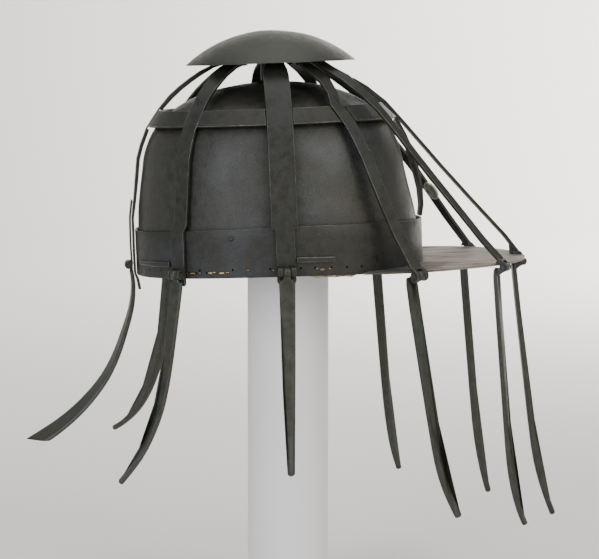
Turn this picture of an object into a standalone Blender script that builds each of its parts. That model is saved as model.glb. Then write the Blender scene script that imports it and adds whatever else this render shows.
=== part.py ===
"""Spider helmet on its plain display post.

A domed skull with an upright band and a flat peak stands inside a cage of
flat ribs and stays under a domed top plate.  A long curved leg hangs from a
hinge at the lower end of each rib.  Millimetres in the tables, metres in the
scene, +X to the front, -Y to the wearer's right, +Z up.
"""

import math

import bpy
import bmesh
from mathutils import Matrix, Vector

MM = 0.001

# Driving sizes, in millimetres and degrees.
RIM_HEIGHT = 268.0          # rim centre above the stand's underside
NOSE_UP = 2.15              # the helmet sits a little nose up on its post
BAND_A = 110.0              # half length of the band, outside
BAND_B = 92.0               # half width of the band, outside
BAND_WALL = 1.8
BAND_TOP = 36.3
RIM_ARCH = 4.65             # the rim rises over the ears
RIM_SLOPE = -0.02           # and falls a little to the front
SKULL_WALL = 1.6
RIB_WALL = 2.4
RING_TOP = 125.8
RING_FOOT = 114.3
DISC_RADIUS = 65.0
DISC_RISE = 24.7
DISC_RIM_Z = 158.5
DISC_WALL = 1.8
BRIM_TOP = 4.3
BRIM_WALL = 1.6
PIN_RADIUS = 1.5
BORE_RADIUS = 1.62
TONGUE = 2.6                # half width of a leg's eye
POST_RADIUS = 31.3
POST_X = 6.0
FOOT_RADIUS = 92.0
FOOT_THICK = 12.0
GAP = 0.3

SETTLE_MM = Matrix.Translation((0.0, 0.0, RIM_HEIGHT)) @ Matrix.Rotation(
    math.radians(-NOSE_UP), 4, "Y"
)

# Colour and roughness of each slot.
MATERIALS = {
    "blackened_steel": ((0.085, 0.086, 0.078), 0.45, 1.0),
    "worn_steel": ((0.20, 0.195, 0.175), 0.42, 1.0),
    "lead": ((0.30, 0.29, 0.26), 0.6, 0.6),
    "buff_leather": ((0.42, 0.28, 0.15), 0.85, 0.0),
    "white_post": ((0.72, 0.69, 0.67), 0.7, 0.0),
}


def clear_scene():
    for old in list(bpy.data.objects):
        bpy.data.objects.remove(old, do_unlink=True)


def make_materials():
    made = {}
    for name, (colour, rough, metallic) in MATERIALS.items():
        material = bpy.data.materials.new(name)
        material.use_nodes = True
        shader = material.node_tree.nodes["Principled BSDF"]
        shader.inputs["Base Color"].default_value = (*colour, 1.0)
        shader.inputs["Roughness"].default_value = rough
        shader.inputs["Metallic"].default_value = metallic
        material.diffuse_color = (*colour, 1.0)
        made[name] = material
    return made


clear_scene()
SLOTS = make_materials()
HELMET = bpy.data.collections.new("spider_helmet")
CUTTERS = bpy.data.collections.new("cutters")
bpy.context.scene.collection.children.link(HELMET)
bpy.context.scene.collection.children.link(CUTTERS)
CUTTERS.hide_render = True


def body(name, points, faces, slot=None, settle=True, smooth=True):
    """A closed mesh from points in millimetres; a cutter when it has no slot."""
    mesh = bpy.data.meshes.new(name)
    mesh.from_pydata([Vector(p) for p in points], [], faces)
    if settle:
        mesh.transform(SETTLE_MM)
    mesh.transform(Matrix.Scale(MM, 4))
    work = bmesh.new()
    work.from_mesh(mesh)
    bmesh.ops.recalc_face_normals(work, faces=work.faces)
    work.to_mesh(mesh)
    work.free()
    obj = bpy.data.objects.new(name, mesh)
    if slot is None:
        CUTTERS.objects.link(obj)
        obj.hide_render = True
        obj.display_type = "WIRE"
        return obj
    HELMET.objects.link(obj)
    obj.data.materials.append(SLOTS[slot])
    if smooth:
        mesh.shade_smooth()
        mesh.set_sharp_from_angle(angle=math.radians(32))
    return obj




def combine(obj, other, operation):
    modifier = obj.modifiers.new(operation.lower(), "BOOLEAN")
    modifier.operation = operation
    modifier.solver = "EXACT"
    modifier.object = other


def ringed(sections, closed=False):
    """Points and faces through loops of equal length, capped unless closed."""
    count = len(sections[0])
    points = [p for loop in sections for p in loop]
    faces = []
    spans = len(sections) if closed else len(sections) - 1
    for i in range(spans):
        j = (i + 1) % len(sections)
        for k in range(count):
            n = (k + 1) % count
            faces.append((i * count + k, i * count + n, j * count + n, j * count + k))
    if not closed:
        faces.append(tuple(range(count)))
        faces.append(tuple(range((len(sections) - 1) * count, len(sections) * count)))
    return points, faces


def table(rows, z):
    """Straight-line reading of a table of (z, value), z rising."""
    if z <= rows[0][0]:
        return rows[0][1]
    for (z0, v0), (z1, v1) in zip(rows, rows[1:]):
        if z <= z1:
            return v0 + (v1 - v0) * (z - z0) / (z1 - z0)
    return rows[-1][1]


def polar(a, b, angle, z):
    t = math.radians(angle)
    return Vector((a * math.cos(t), b * math.sin(t), z))


# The cage's outer face: half length behind, half length in front, half width.
CAGE_REAR = [(-30, 112.4), (45, 112.2), (58, 110.4), (90, 106.5), (100, 103.5),
             (112.5, 98.4), (122, 91.9), (127.6, 87.8), (136.6, 79.8), (143.3, 71.9),
             (149, 63.9), (154, 56), (158.5, 46), (160.5, 38), (161, 31)]
CAGE_FRONT = [(-30, 112), (37, 111.5), (45, 112.3), (58, 112.3), (74, 110), (91.3, 104.6),
              (100, 100.8), (110.9, 95.1), (115, 92.3), (124.2, 83.4), (133.3, 71),
              (142, 59.5), (148.5, 52), (154, 45), (158.5, 38), (161, 31)]
CAGE_SIDE = [(-30, 97), (0, 97), (45, 95.5), (58, 93), (90, 89.5), (100, 86.5),
             (112.5, 82), (122, 77), (127.6, 74), (136.6, 69), (143.3, 64.5),
             (149, 59.5), (154, 54), (158.5, 46), (160.5, 38), (161, 31)]


def cage(angle, z):
    """The point of the cage's outer face at this angle and height."""
    half = CAGE_FRONT if math.cos(math.radians(angle)) > 1e-6 else CAGE_REAR
    return polar(table(half, z), table(CAGE_SIDE, z), angle, z)


# Skull
# Height, half length, half width, shift along the length.
SKULL_LEVELS = [
    (8.0, 107.6, 89.6, 0.0), (36.0, 106.9, 89.2, -0.8), (58.0, 103.9, 86.8, -2.2),
    (78.0, 100.6, 84.4, -2.8), (94.0, 97.2, 81.6, -3.2), (109.0, 90.4, 76.2, -3.4),
    (122.0, 79.0, 67.0, -3.0), (132.0, 63.0, 54.0, -3.0), (139.0, 44.0, 38.0, -2.2),
    (143.2, 21.5, 18.8, -1.0),
]


def arch(angle, z):
    return RIM_ARCH * math.sin(math.radians(angle)) ** 2 * max(0.0, 1 - z / 144.0)


def skull():
    steps = 32
    loops = []
    for drop in (0.0, SKULL_WALL):
        rows = []
        for z, a, b, cx in SKULL_LEVELS:
            low = drop * (1.0 if z > 100 else 0.15) if z > 30 else 0.0
            ring = []
            for i in range(steps):
                angle = 360.0 * i / steps
                shrink = drop if z < 100 else drop * 0.72
                p = polar(a - shrink, b - shrink, angle, z - low + arch(angle, z))
                ring.append(p + Vector((cx, 0, 0)))
            rows.append(ring)
        loops.append(rows)
    outer, inner = loops
    points = [p for ring in outer + inner for p in ring]
    faces = []
    levels = len(SKULL_LEVELS)
    for shell in (0, levels):
        for i in range(levels - 1):
            for k in range(steps):
                n = (k + 1) % steps
                r0, r1 = (shell + i) * steps, (shell + i + 1) * steps
                faces.append((r0 + k, r0 + n, r1 + n, r1 + k))
    for k in range(steps):
        n = (k + 1) % steps
        faces.append((k, n, levels * steps + n, levels * steps + k))
    points.append(Vector((-1.0, 0, 144.4)))
    points.append(Vector((-1.0, 0, 144.4 - SKULL_WALL)))
    for shell, tip in ((levels - 1, len(points) - 2), (2 * levels - 1, len(points) - 1)):
        for k in range(steps):
            faces.append((shell * steps + k, shell * steps + (k + 1) % steps, tip))
    body("skull", points, faces, "blackened_steel")


# Band
def rim_z(angle):
    x = BAND_A * math.cos(math.radians(angle))
    return RIM_SLOPE * x + RIM_ARCH * math.sin(math.radians(angle)) ** 2


def band_point(angle, z, out=0.0):
    return polar(BAND_A + out, BAND_B + out, angle, z)


# Sewing holes of the lining, on both sides alike, as angles from the front.
LINING_HOLES = [62, 68.5, 75, 81.5, 87, 98.5, 107, 113, 127, 148, 157]


def radial_prism(angle, z, half_wide, half_high, corners):
    """A cutter through the band, square to its face."""
    p = band_point(angle, z)
    t = math.radians(angle)
    out = Vector((math.cos(t) / BAND_A, math.sin(t) / BAND_B, 0)).normalized()
    side = Vector((-out.y, out.x, 0))
    sections = []
    for depth in (-2.4, 2.0):
        loop = []
        for k in range(corners):
            c = 2 * math.pi * (k + 0.5) / corners
            wide = half_wide * math.cos(c) * (1.414 if corners == 4 else 1)
            high = half_high * math.sin(c) * (1.414 if corners == 4 else 1)
            loop.append(p + out * depth + side * wide + Vector((0, 0, high)))
        sections.append(loop)
    return ringed(sections)


def band():
    steps = 56
    sections = []
    for i in range(steps):
        angle = 360.0 * i / steps
        low, top = rim_z(angle), BAND_TOP + RIM_ARCH * math.sin(math.radians(angle)) ** 2
        sections.append([
            band_point(angle, low), band_point(angle, top),
            band_point(angle, top, -BAND_WALL), band_point(angle, low, -BAND_WALL),
        ])
    points, faces = ringed(sections, closed=True)
    obj = body("skull_band", points, faces, "blackened_steel")
    points, faces = [], []
    # Angle, height over the rim, half width, half height, corners.
    cuts = [(side * angle, 6.0, 0.85, 0.85, 6) for angle in LINING_HOLES for side in (-1, 1)]
    cuts += [(-131.0, 4.2, 5.2, 0.7, 4), (-122.1, 4.2, 3.9, 0.7, 4), (-116.6, 4.2, 4.3, 0.7, 4),
             (-54.3, 11.2, 0.4, 2.2, 4)]
    for angle, rise, wide, high, corners in cuts:
        p, f = radial_prism(angle, rim_z(angle) + rise, wide, high, corners)
        faces += [tuple(len(points) + v for v in face) for face in f]
        points += p
    combine(obj, body("lining_holes", points, faces), "DIFFERENCE")


# Brim
# Outline of the peak on the wearer's right, from the band forwards.
BRIM_EDGE = [
    (52, 85.8), (62, 88.2), (75, 90.0), (88, 90.4), (100, 89.5), (112, 87.0),
    (125, 83.0), (138, 78.0), (149, 72.8), (158, 66.8), (166, 60.0), (173, 52.0),
    (179, 42.0), (184, 31.0), (187.5, 19.0), (189.2, 8.0),
]
BRIM_START = 56.0           # angle on the band where the peak springs


def brim_z(x):
    return BRIM_TOP - 0.9 * (max(0.0, x - 140.0) / 50.0) ** 2


def brim():
    near = [Vector((x, -y, 0)) for x, y in BRIM_EDGE]
    outer = near + [Vector((189.6, 0, 0))] + [Vector((p.x, -p.y, 0)) for p in reversed(near)]
    count = len(outer)
    inner = []
    for i in range(count):
        angle = -BRIM_START - 3 + (2 * BRIM_START + 6) * i / (count - 1)
        inner.append(band_point(angle, 0, GAP + 0.1))
    points, faces = [], []
    rows = []
    for i in range(count):
        row = []
        for share in (0.0, 0.5, 1.0):
            p = inner[i].lerp(outer[i], share)
            row.append((p.x, p.y, brim_z(p.x)))
        rows.append(row)
    for under in (0.0, -BRIM_WALL):
        for row in rows:
            points += [Vector((x, y, z + under)) for x, y, z in row]
    half = count * 3
    for i in range(count - 1):
        for k in (0, 1):
            a = i * 3 + k
            faces.append((a, a + 1, a + 4, a + 3))
            faces.append((half + a, half + a + 3, half + a + 4, half + a + 1))
        faces.append((i * 3, i * 3 + 3, half + i * 3 + 3, half + i * 3))
        a = i * 3 + 2
        faces.append((a, half + a, half + a + 3, a + 3))
    for a in (0, (count - 1) * 3):
        for k in (0, 1):
            faces.append((a + k, a + k + 1, half + a + k + 1, half + a + k))
    return body("brim", points, faces, "worn_steel")


# Hinges
# Pin centre, direction in which the leg swings out, where the hinge is,
# radius of the lug's round end.
HINGES = {
    "rear": ((-116.0, 0.0, 9.7), 180.0, "rear", 3.2),
    "rear_right": ((-84.6, -70.2, 7.8), -129.0, "band", 3.5),
    "rear_left": ((-84.6, 70.2, 7.8), 129.0, "band", 3.5),
    "side_right": ((-5.0, -99.4, 9.1), -91.0, "band", 3.5),
    "side_left": ((-5.0, 99.4, 9.1), 91.0, "band", 3.5),
    "corner_right": ((92.2, -93.6, 0.8), -53.0, "brim", 4.0),
    "corner_left": ((92.2, 95.4, 0.8), 45.0, "brim", 4.0),
    "front_right": ((160.6, -70.4, 1.6), -32.0, "brim", 3.4),
    "front_left": ((162.6, 70.2, 1.4), 28.0, "brim", 3.4),
    "front_centre": ((189.1, 0.0, -2.2), 0.0, "brim", 3.1),
}


class HingeFrame:
    """Axes of a hinge: r outwards, w up, s along the pin."""

    def __init__(self, name):
        pin, swing, self.place, self.radius = HINGES[name]
        self.pin = Vector(pin)
        t = math.radians(swing)
        self.out = Vector((math.cos(t), math.sin(t), 0))
        self.along = Vector((-self.out.y, self.out.x, 0))
        self.up = Vector((0, 0, 1))

    def at(self, r, w, s=0.0):
        return self.pin + self.out * r + self.up * w + self.along * s

    def prism(self, profile, s0, s1):
        return ringed([[self.at(r, w, s) for r, w in profile] for s in (s0, s1)])

    def disc(self, radius, s0, s1, corners=10):
        turn = [2 * math.pi * (k + 0.5) / corners for k in range(corners)]
        return self.prism([(radius * math.cos(c), radius * math.sin(c)) for c in turn], s0, s1)


def arc(radius, start, end, steps):
    span = [math.radians(start + (end - start) * k / steps) for k in range(steps + 1)]
    return [(radius * math.cos(c), radius * math.sin(c)) for c in span]


# Ribs
def strip(rows):
    """A flat bar: rows of outer point, outward direction, half width, depths."""
    sections = []
    for i, (p, face, half, top, foot) in enumerate(rows):
        # Rows closer than half a millimetre share their neighbours' direction.
        before = next((q[0] for q in rows[i::-1] if (q[0] - p).length > 0.5), p)
        after = next((q[0] for q in rows[i:] if (q[0] - p).length > 0.5), p)
        along = (after - before).normalized()
        out = (face - along * face.dot(along)).normalized()
        side = along.cross(out)
        sections.append([
            p + side * half - out * top, p - side * half - out * top,
            p - side * half - out * foot, p + side * half - out * foot,
        ])
    return ringed(sections)


def outward(angle):
    t = math.radians(angle)
    half = BAND_A if math.cos(t) < 0 else 105.0
    return Vector((math.cos(t) / half, math.sin(t) / BAND_B, 0)).normalized()


RIB_NOTCH = (127.2, 112.8)  # heights between which a rib is halved
HALF_DEPTH = 0.95
RIB_LEVELS = [161.0, 160.5, 158.5, 154.0, 149.0, 143.3, 136.6, 131.0, 127.3, 127.2, 120.0,
              112.8, 112.7, 107.0, 100.0, 90.0, 74.0, 58.0, 45.0]

# Name, angle at the top, at the ring and at the band, half width above the
# band, half width below its top edge.
DOME_RIBS = [
    ("rear", 180.0, 180.0, 180.0, 5.3, 5.6),
    ("rear_right", -137.0, -134.6, -134.6, 5.6, 5.6),
    ("rear_left", 124.5, 134.6, 134.6, 5.6, 5.6),
    ("side_right", -93.6, -92.5, -92.6, 9.4, 6.9),
    ("side_left", 90.0, 92.5, 92.6, 9.4, 6.9),
]


def halved(z, wall):
    """Depth of a rib: about half where it lies over the ring."""
    return HALF_DEPTH if RIB_NOTCH[1] - 0.05 < z < RIB_NOTCH[0] + 0.05 else wall


# The rear rib is a deeper bar over the dome: height and thickness.
REAR_DEPTH = [(45, 1.7), (58, 2.2), (74, 2.6), (112.7, 2.7), (127.3, 3.0), (136.6, 3.5),
              (154, 3.3), (161, 2.2)]


def dome_rib_rows(name, top, ring, foot, half):
    rows = []
    for z in RIB_LEVELS:
        if z > RIB_NOTCH[0]:
            angle = ring + (top - ring) * (z - RIB_NOTCH[0]) / 33.8
        else:
            angle = foot + (ring - foot) * min(1.0, (z - 45) / 67.0)
        slim = min(1.0, 0.62 + 0.38 * (161.0 - z) / 9.0)
        wall = table(REAR_DEPTH, z) if name == "rear" else RIB_WALL
        rows.append((cage(angle, z), outward(angle), half * slim, 0.0, halved(z, wall)))
    return rows


def knuckle(obj, hinge, half, slot_half=3.0):
    """Adds the rounded lug to a rib's lower end, then cuts its slot and bore."""
    if hinge.place == "band":
        top = hinge.radius + 0.7
        lug = arc(hinge.radius, -125, 90, 7) + [(-4.3, top), (-5.6, top), (-5.6, -5.0)]
    else:
        # The inner toe stands just over the peak.
        low = brim_z(hinge.pin.x) + GAP + 0.1 - hinge.pin.z
        crest = max(6.4, low + 2.4)
        lug = arc(hinge.radius, -218, 70, 9) + [(-1.4, crest - 0.6), (-4.4, crest), (-6.4, low)]
        lug.append((-4.1, low))
    tag = obj.name
    combine(obj, body(tag + "_lug", *hinge.prism(lug, -half, half)), "UNION")
    deep = -4.45 if hinge.place == "band" else -4.6
    slot = [(deep, -5.6), (9.0, -5.6), (9.0, 5.0), (deep, 5.0)]
    combine(obj, body(tag + "_slot", *hinge.prism(slot, -slot_half, slot_half)), "DIFFERENCE")
    combine(obj, body(tag + "_bore", *hinge.disc(BORE_RADIUS, -12, 12)), "DIFFERENCE")


def dome_ribs():
    for name, top, ring, foot, half, half_low in DOME_RIBS:
        hinge = HingeFrame(name)
        rows = dome_rib_rows(name, top, ring, foot, half)
        # The foot stands off the band and runs on below as the leg's stop.
        # Height, distance out, half width, thickness.
        heel = [(30.4, -4.9, half, RIB_WALL), (30.0, -4.9, half_low, RIB_WALL),
                (9.0, -4.5, half_low, RIB_WALL), (-7.0, -4.5, half_low, RIB_WALL),
                (-9.0, -4.5, half_low - 0.8, RIB_WALL)]
        if name == "rear":
            heel = [(29.0, -3.8, half_low, 1.7), (9.0, -3.6, half_low, 1.7),
                    (-6.3, -3.75, half_low, 1.7), (-8.6, -4.35, half_low, 1.6),
                    (-11.5, -5.3, half_low, 2.2), (-19.3, -6.6, half_low - 0.6, 2.2)]
        for w, r, wide, deep in heel:
            rows.append((hinge.at(r, w), hinge.out, wide, 0.0, deep))
        obj = body("rib_" + name, *strip(rows), "blackened_steel")
        if name != "rear":
            knuckle(obj, hinge, half_low - 0.25 if half_low > 6 else half_low + 0.2)


# Stays that leave the dome for the peak: outer centre line, facing angles at
# the top and at the foot, half width.
STAYS = {
    "corner_right": ([(15.5, -27, 161), (17.0, -31, 160.6), (25.4, -46.8, 152.9), (33.2, -53.7, 144.6),
                      (37.8, -60.1, 135), "ring", (53.4, -73.6, 101.9),
                      (58.5, -76.4, 89.4), (72.0, -83.2, 50.6), (80.0, -86.8, 30.0)],
                     -58.0, -55.0, 4.9),
    "corner_left": ([(15.5, 27, 161), (17.0, 31, 160.6), (27.6, 46.8, 152.9), (34.8, 53.7, 144.6),
                     (38.4, 60.1, 135), "ring", (53.4, 73.6, 101.9),
                     (58.5, 76.4, 89.4), (72.0, 83.6, 50.6), (80.0, 87.8, 30.0)],
                    58.0, 50.0, 4.9),
    "front_right": ([(28.6, -36.5, 160.5), (38.4, -46.6, 152.8), (48.4, -54.0, 146.0),
                     (59.6, -58.8, 135.6), (71.6, -62.4, 122.8), (84.0, -64.0, 106.3),
                     (95.4, -65.0, 90.0), (107.9, -66.0, 73.0), (134.2, -68.0, 38.0),
                     (144.8, -68.8, 23.6)],
                    -50.0, -34.0, 3.2),
    "front_left": ([(32.6, 36.5, 160.5), (42.6, 46.8, 154.6), (54.0, 54.0, 147.8),
                    (67.6, 58.8, 137.0), (79.6, 62.4, 123.8), (91.0, 64.0, 106.3),
                    (117.3, 65.6, 71.2), (145.0, 67.2, 29.0)],
                   50.0, 32.0, 3.6),
    "front_centre": ([(61.2, 0, 144.7), (71.9, 0, 137.9), (85.8, 0, 126.2), (91.6, 0, 119.4),
                      (99.1, 0, 110.6), (128.2, 0, 75.2), (152.4, 0, 46.9), (176.6, 0, 19.3)],
                     0.0, 0.0, 4.6),
}


# The side stays widen towards the dome's top.
STAY_FLARE = {0: 1.35, 1: 1.35, 2: 1.35, 3: 1.2}

# The front stay is thicker where it closes on the rib below it.
FRONT_DEPTHS = {0: 2.8, 1: 3.8, 2: 2.7}


def stays():
    for name, (line, top, foot, half) in STAYS.items():
        hinge = HingeFrame(name)
        if "ring" in line:
            i = line.index("ring")
            sign = 1 if line[0][1] > 0 else -1
            flush = [cage(sign * (60.6 - 0.12 * (126.9 - z)), z)
                     for z in (127.3, 127.2, 120.0, 112.8, 112.7)]
            line = line[:i] + flush + line[i + 1:]
        rows = []
        for i, p in enumerate(line):
            share = i / (len(line) - 1)
            t = math.radians(top + (foot - top) * share)
            face = Vector((math.cos(t), math.sin(t), 0))
            depth = halved(p[2], RIB_WALL) if name.startswith("corner") else RIB_WALL
            if name == "front_centre":
                depth = FRONT_DEPTHS.get(i, RIB_WALL)
            wide = half * STAY_FLARE.get(i, 1.0) if name in ("front_right", "front_left") else half
            rows.append((Vector(p), face, wide, 0.0, depth))
        rise = brim_z(hinge.pin.x) + GAP - hinge.pin.z
        end = hinge.at(-2.0, max(5.4, rise + 1.4))
        rows.append((rows[-1][0].lerp(end, 0.8), hinge.out, half, 0.0, RIB_WALL))
        rows.append((end, hinge.out, half, 0.0, RIB_WALL))
        title = "rib_" if name.startswith("corner") else "stay_"
        obj = body(title + name, *strip(rows), "blackened_steel")
        knuckle(obj, hinge, half + 0.9)
        if name == "front_centre":
            # The inner prong of its short forked foot stands on the peak.
            prong = [(-9.0, rise), (-7.2, rise), (-7.0, rise + 6.2), (-9.4, rise + 9.0)]
            wide = half - 0.5
            combine(obj, body(obj.name + "_prong", *hinge.prism(prong, -wide, wide)), "UNION")


# Height and twist of the front rib: it is bent a little out of true.
FRONT_RIB_TURN = [(45, 3.0), (58, 8.0), (74, 14.0), (90, 11.0), (100, 5.0), (107, 0.0)]


def front_rib():
    """The short rib that follows the dome down to the band, under the stay."""
    rows = []
    for z in RIB_LEVELS:
        slim = min(1.0, 0.62 + 0.38 * (161.0 - z) / 9.0)
        turn = math.radians(table(FRONT_RIB_TURN, z))
        face = Vector((math.cos(turn), math.sin(turn), 0))
        p = cage(0.0, z) - Vector((7.2 * math.sin(turn), 0, 0))
        rows.append((p, face, 5.2 * slim, 0.0, halved(z, RIB_WALL)))
    rows.append((Vector((110.7, 0, 36.7)), Vector((1, 0, 0)), 5.2, 0.0, RIB_WALL))
    body("rib_front", *strip(rows), "blackened_steel")


# Ring
def ring():
    """The level band round the dome, halved where each rib crosses it."""
    crossings = [(180.0, 180.0, 5.75), (-134.6, -134.6, 6.1), (134.6, 134.6, 6.3),
                 (-92.5, -92.5, 10.2), (92.5, 92.5, 10.2), (-60.5, -59.1, 6.9),
                 (60.5, 59.1, 6.7), (0.0, 0.0, 5.65)]
    stations, taken = [], []
    for top, foot, half in crossings:
        reach = []
        for angle, z in ((top, RING_TOP), (foot, RING_FOOT)):
            step = (cage(angle + 1, z) - cage(angle - 1, z)).length / 2
            reach.append(half / step)
        for sign, deep in ((-1, 0), (-1, 1), (1, 1), (1, 0)):
            stations.append((top + sign * reach[0], foot + sign * reach[1], deep))
        taken.append((top, reach[0]))
    for k in range(48):
        angle = -176.25 + 7.5 * k
        if min(abs((angle - a + 180) % 360 - 180) - reach for a, reach in taken) > 1.2:
            stations.append((angle, angle, 0))
    # Sorting is stable, so the two stations of each step keep their order.
    stations.sort(key=lambda item: round((item[0] + 188.0) % 360.0, 4))
    sections = []
    for top, foot, deep in stations:
        p, q = cage(top, RING_TOP), cage(foot, RING_FOOT)
        out = outward((top + foot) / 2)
        slope = (p - q).normalized()
        out = (out - slope * out.dot(slope)).normalized()
        sink = 1.7 if deep else 0.0
        sections.append([p - out * sink, q - out * sink, q - out * RIB_WALL, p - out * RIB_WALL])
    body("ring_band", *ringed(sections, closed=True), "blackened_steel")


# Top plate
def turned(name, profile, slot, centre, steps=34, settle=True):
    """A turned body from (radius, z) pairs that start and end on the axis."""
    points, faces, loops = [], [], []
    for radius, z in profile:
        if radius < 1e-6:
            loops.append([len(points)] * steps)
            points.append(Vector((centre, 0, z)))
            continue
        loops.append(list(range(len(points), len(points) + steps)))
        for k in range(steps):
            c = 2 * math.pi * k / steps
            points.append(Vector((centre + radius * math.cos(c), radius * math.sin(c), z)))
    for one, two in zip(loops, loops[1:]):
        for k in range(steps):
            n = (k + 1) % steps
            face = [one[k], one[n], two[n], two[k]]
            face = list(dict.fromkeys(face))
            if len(face) > 2:
                faces.append(tuple(face))
    return body(name, points, faces, slot, settle)


def top_plate():
    bend = (DISC_RADIUS ** 2 + DISC_RISE ** 2) / (2 * DISC_RISE)
    profile = []
    radii = [0, 13, 26, 38, 49, 58, DISC_RADIUS]
    for r in radii:
        z = DISC_RIM_Z + math.sqrt(bend ** 2 - r ** 2) - (bend - DISC_RISE)
        profile.append((r, z))
    inner = [(max(0.0, r - DISC_WALL * r / bend), z - DISC_WALL) for r, z in profile]
    inner[-1] = (DISC_RADIUS - 2.2, DISC_RIM_Z)
    turned("top_plate", profile + inner[::-1], "blackened_steel", -1.5)
    turned("crown_boss", [(0, 180.8), (8, 180.5), (8, 162.4), (28.0, 162.4), (28.0, 158.0),
                          (8, 158.0), (8, 144.9), (0, 144.9)], "blackened_steel", -1.5, 18)


# Legs
# For each leg: centre line as (out, up) from the pin; half width at the top,
# middle and tip; half thickness at the top, middle and tip; twist at the tip;
# sideways drift at the tip.
LEGS = {
    "rear": ([(-1.7, -4.4), (-2.7, -11), (-2.9, -17), (-1.6, -29.3), (1.4, -40), (5.2, -50.5),
              (9.4, -62), (14.9, -74.4), (21.6, -86), (30.0, -96.5), (40, -107), (50.5, -116.0),
              (62, -124.2), (75.4, -131.8)], (5.6, 6.6, 8.6), (1.5, 1.7, 1.7), -26.0, 0.0),
    "rear_right": ([(-2.6, -5.2), (-0.6, -14), (4.6, -34), (9.4, -53), (15.0, -72.6), (20.8, -88.5),
                    (27.9, -102.4), (44.8, -121.8), (59.0, -130.8), (74.0, -138.4)],
                   (5.2, 3.6, 2.1), (1.5, 2.0, 2.3), 0.0, 0.0),
    "rear_left": ([(-2.6, -5.2), (-2.2, -18), (-0.2, -36), (3.9, -59), (9.6, -77), (17.6, -94.5),
                   (26.4, -110.5), (37.7, -124.5), (51.3, -136.0), (68.5, -145.6), (74.6, -148.2)],
                  (5.4, 3.7, 2.0), (1.5, 1.9, 2.2), 0.0, 0.0),
    "side_right": ([(-2.6, -5.2), (-1.0, -17), (1.5, -34), (6.0, -54), (13.0, -79), (21.0, -96.5),
                    (29.5, -110.5), (42.0, -128.6), (49.0, -137.0)],
                   (5.9, 4.9, 2.7), (1.5, 2.0, 2.5), 0.0, -6.5),
    "side_left": ([(-2.6, -5.2), (-1.0, -17), (1.5, -34), (6.0, -55), (13.0, -80), (21.0, -98.5),
                   (30.0, -113.5), (43.5, -131.0), (52.0, -140.0)],
                  (5.9, 4.9, 2.7), (1.5, 2.0, 2.5), 0.0, 0.0),
    "corner_right": ([(-8.1, -0.9), (-8.7, -8), (-5.8, -26), (-1.7, -50), (5.0, -91), (8.9, -116),
                      (13.1, -138), (18.0, -151.5), (24.3, -163), (31.3, -173.1)],
                     (5.3, 4.2, 3.0), (1.5, 2.2, 2.7), 0.0, 0.0),
    "corner_left": ([(-5.9, -0.9), (-5.6, -8), (-4.6, -26), (-2.6, -60), (0.2, -100), (2.6, -128),
                     (6.0, -152), (10.6, -170), (17.0, -184.5)],
                    (4.5, 3.6, 2.6), (1.5, 2.0, 2.4), 0.0, 0.0),
    "front_right": ([(-7.0, -0.9), (-6.9, -9), (-6.0, -30), (-4.8, -52.5), (-3.0, -102.4),
                     (-1.8, -130), (-0.7, -148), (1.6, -166), (6.0, -183.1), (10.5, -193.5)],
                    (4.9, 3.3, 2.2), (1.5, 1.9, 2.2), 0.0, 0.0),
    "front_left": ([(-8.0, -0.9), (-7.7, -9), (-6.3, -34), (-4.5, -69), (-2.5, -104), (-1.1, -130),
                    (1.3, -157.5), (6.9, -184.8), (12.3, -202.0)],
                   (4.2, 3.4, 2.5), (1.5, 2.0, 2.4), 0.0, 0.0),
    "front_centre": ([(-6.6, -0.6), (-6.5, -7.7), (-4.3, -32.7), (-1.9, -61.4), (2.8, -119.0),
                      (4.7, -139.7), (7.3, -158.5), (11.4, -176.3), (16.2, -191.4),
                      (19.9, -201.7)],
                     (4.4, 3.6, 2.6), (1.6, 1.9, 2.2), 0.0, 0.0),
}


def thirds(values, share):
    a, b, c = values
    if share < 0.5:
        return a + (b - a) * share * 2
    return b + (c - b) * (share - 0.5) * 2


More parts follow.
